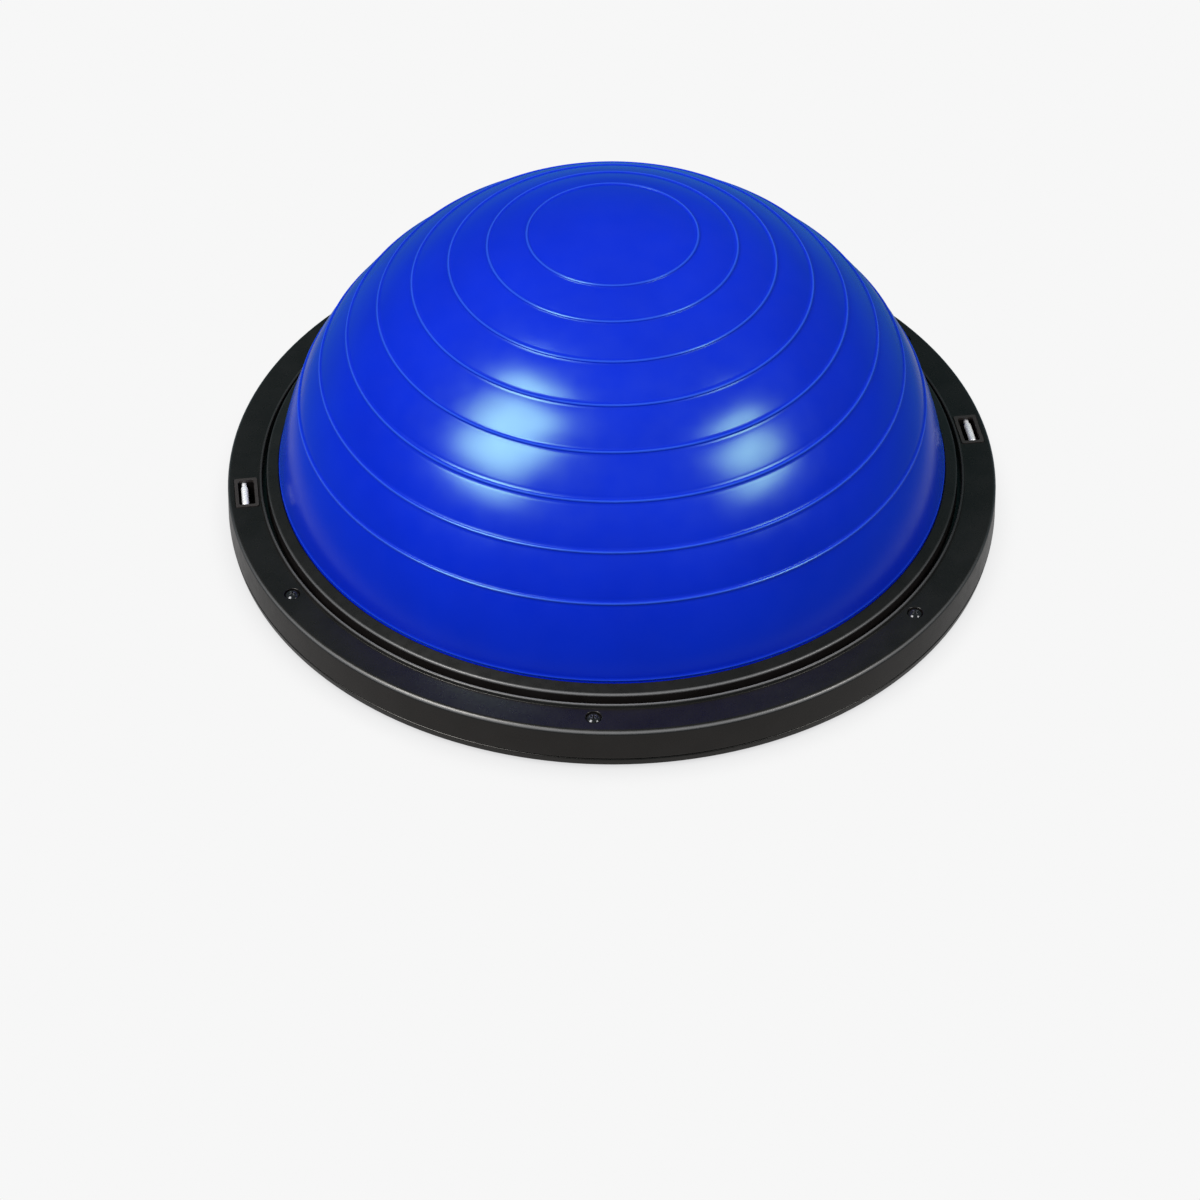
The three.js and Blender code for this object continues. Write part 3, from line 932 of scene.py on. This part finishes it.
def make_floor():
    """A pale floor that darkens softly under the trainer, a painted shadow; from below it lets the view
    through.
    """
    material, tree, shader = new_material("studio_floor")
    tree.nodes.remove(shader)
    # Painted shadow: the floor's glow dims where the trainer stands close above it.
    shade = node(tree, "ShaderNodeAmbientOcclusion", {"Distance": 0.09}, samples=12).outputs["AO"]
    pale = ramp(tree, shade, [(0.0, (0.62, 0.62, 0.63)), (0.75, (PALE,) * 3)])
    rays = node(tree, "ShaderNodeLightPath").outputs
    seen = blended(tree, rays["Is Diffuse Ray"], pale, FLOOR_BOUNCE)
    where = node(tree, "ShaderNodeTexCoord").outputs["Object"]
    away = node(tree, "ShaderNodeVectorMath", {0: where}, operation="LENGTH").outputs["Value"]
    seen = blended(tree, rays["Is Glossy Ray"], seen, ramp(tree, away, FLOOR_GLOSS))
    glow = node(tree, "ShaderNodeEmission", {"Color": seen}).outputs[0]
    clear = node(tree, "ShaderNodeBsdfTransparent").outputs[0]
    below = node(tree, "ShaderNodeNewGeometry").outputs["Backfacing"]
    mixed = node(tree, "ShaderNodeMixShader", {0: below, 1: glow, 2: clear}).outputs[0]
    tree.links.new(mixed, tree.nodes["Material Output"].inputs["Surface"])
    material.cycles.emission_sampling = "NONE"
    mesh = bpy.data.meshes.new("floor")
    half = 40
    corners = [(-half, -half, 0), (half, -half, 0), (half, half, 0), (-half, half, 0)]
    mesh.from_pydata(corners, [], [(0, 1, 2, 3)])
    mesh.materials.append(material)
    floor = bpy.data.objects.new("floor", mesh)
    bpy.context.scene.collection.objects.link(floor)


def make_room():
    world = bpy.data.worlds.new("room")
    bpy.context.scene.world = world
    world.use_nodes = True
    tree = world.node_tree
    rays = node(tree, "ShaderNodeLightPath").outputs
    direction = node(tree, "ShaderNodeTexCoord").outputs["Generated"]
    height = node(tree, "ShaderNodeSeparateXYZ", {0: direction}).outputs[2]
    seen = blended(tree, rays["Is Diffuse Ray"], (PALE,) * 3, ramp(tree, height, ROOM_BOUNCE))
    seen = blended(tree, rays["Is Glossy Ray"], seen, ROOM_GLOSS)
    background = tree.nodes["Background"]
    tree.links.new(seen, background.inputs["Color"])
    strength = scaled(tree, rays["Is Diffuse Ray"], 1, ROOM_POWER, 0, 1)
    tree.links.new(strength, background.inputs["Strength"])


def fade_towards_edges(lamp):
    """Dims a lamp smoothly from its middle to nothing at its edges."""
    lamp.use_nodes = True
    tree = lamp.node_tree
    where = node(tree, "ShaderNodeNewGeometry").outputs["Parametric"]
    across, along, _ = node(tree, "ShaderNodeSeparateXYZ", {0: where}).outputs
    strength = None
    for share in (across, along):
        rest = node(tree, "ShaderNodeMath", {0: 1.0, 1: share}, operation="SUBTRACT").outputs[0]
        both = node(tree, "ShaderNodeMath", {0: share, 1: rest}, operation="MULTIPLY").outputs[0]
        inputs = {"Value": both, "From Min": 0, "From Max": 0.25, "To Min": 0, "To Max": 1}
        soft = node(tree, "ShaderNodeMapRange", inputs, interpolation_type="SMOOTHSTEP").outputs[0]
        if strength is None:
            strength = soft
        else:
            strength = node(tree, "ShaderNodeMath", {0: strength, 1: soft}, operation="MULTIPLY").outputs[0]
    tree.links.new(strength, tree.nodes["Emission"].inputs["Strength"])


def make_softbox(name, spot, towards, distance, size, radiance):
    """A soft rectangular lamp that the dome mirrors at a spot on its surface."""
    lamp = bpy.data.lights.new(name, "AREA")
    lamp.shape = "RECTANGLE"
    lamp.size, lamp.size_y = size
    lamp.energy = radiance * math.pi * size[0] * size[1]
    fade_towards_edges(lamp)
    obj = bpy.data.objects.new(name, lamp)
    bpy.context.scene.collection.objects.link(obj)
    direction = Vector(towards).normalized()
    obj.location = Vector(spot) + direction * distance
    obj.rotation_mode = "QUATERNION"
    obj.rotation_quaternion = direction.to_track_quat("Z", "Y")


def make_camera():
    """Looks down at the trainer from a little left of its front."""
    height, turn = math.radians(40.9), math.radians(-8)
    distance, lens = 2.4, 94.5
    above, aside = 0.0818, 0.0086  # the platform's centre shows above and right of the middle
    back = Vector((math.sin(turn) * math.cos(height), -math.cos(turn) * math.cos(height), math.sin(height)))
    right = Vector((math.cos(turn), math.sin(turn), 0))
    upward = back.cross(right)
    base = Vector((0, 0, UNDERSIDE * MM))
    data = bpy.data.cameras.new("camera")
    data.lens = lens
    data.sensor_width = 36
    camera = bpy.data.objects.new("camera", data)
    bpy.context.scene.collection.objects.link(camera)
    camera.location = base + back * distance
    aim = base - upward * above - right * aside
    camera.rotation_mode = "QUATERNION"
    camera.rotation_quaternion = (camera.location - aim).to_track_quat("Z", "Y")
    bpy.context.scene.camera = camera


def make_studio():
    make_floor()
    make_room()
    make_softbox("left_softbox", (-0.107, -0.127, 0.197), (-0.597, -0.272, 0.754), 2.0, (1.30, 1.60), 19)
    make_softbox("right_softbox", (0.090, -0.146, 0.196), (0.658, -0.445, 0.608), 2.0, (1.05, 0.95), 14)
    make_camera()
    bpy.context.scene.view_settings.view_transform = "Standard"


make_studio()
make_dome()
make_dome_foot()
make_dome_floor()
make_collar()
make_ring()
make_base()
make_fasteners()
make_pads()
make_anchors()
make_valve()
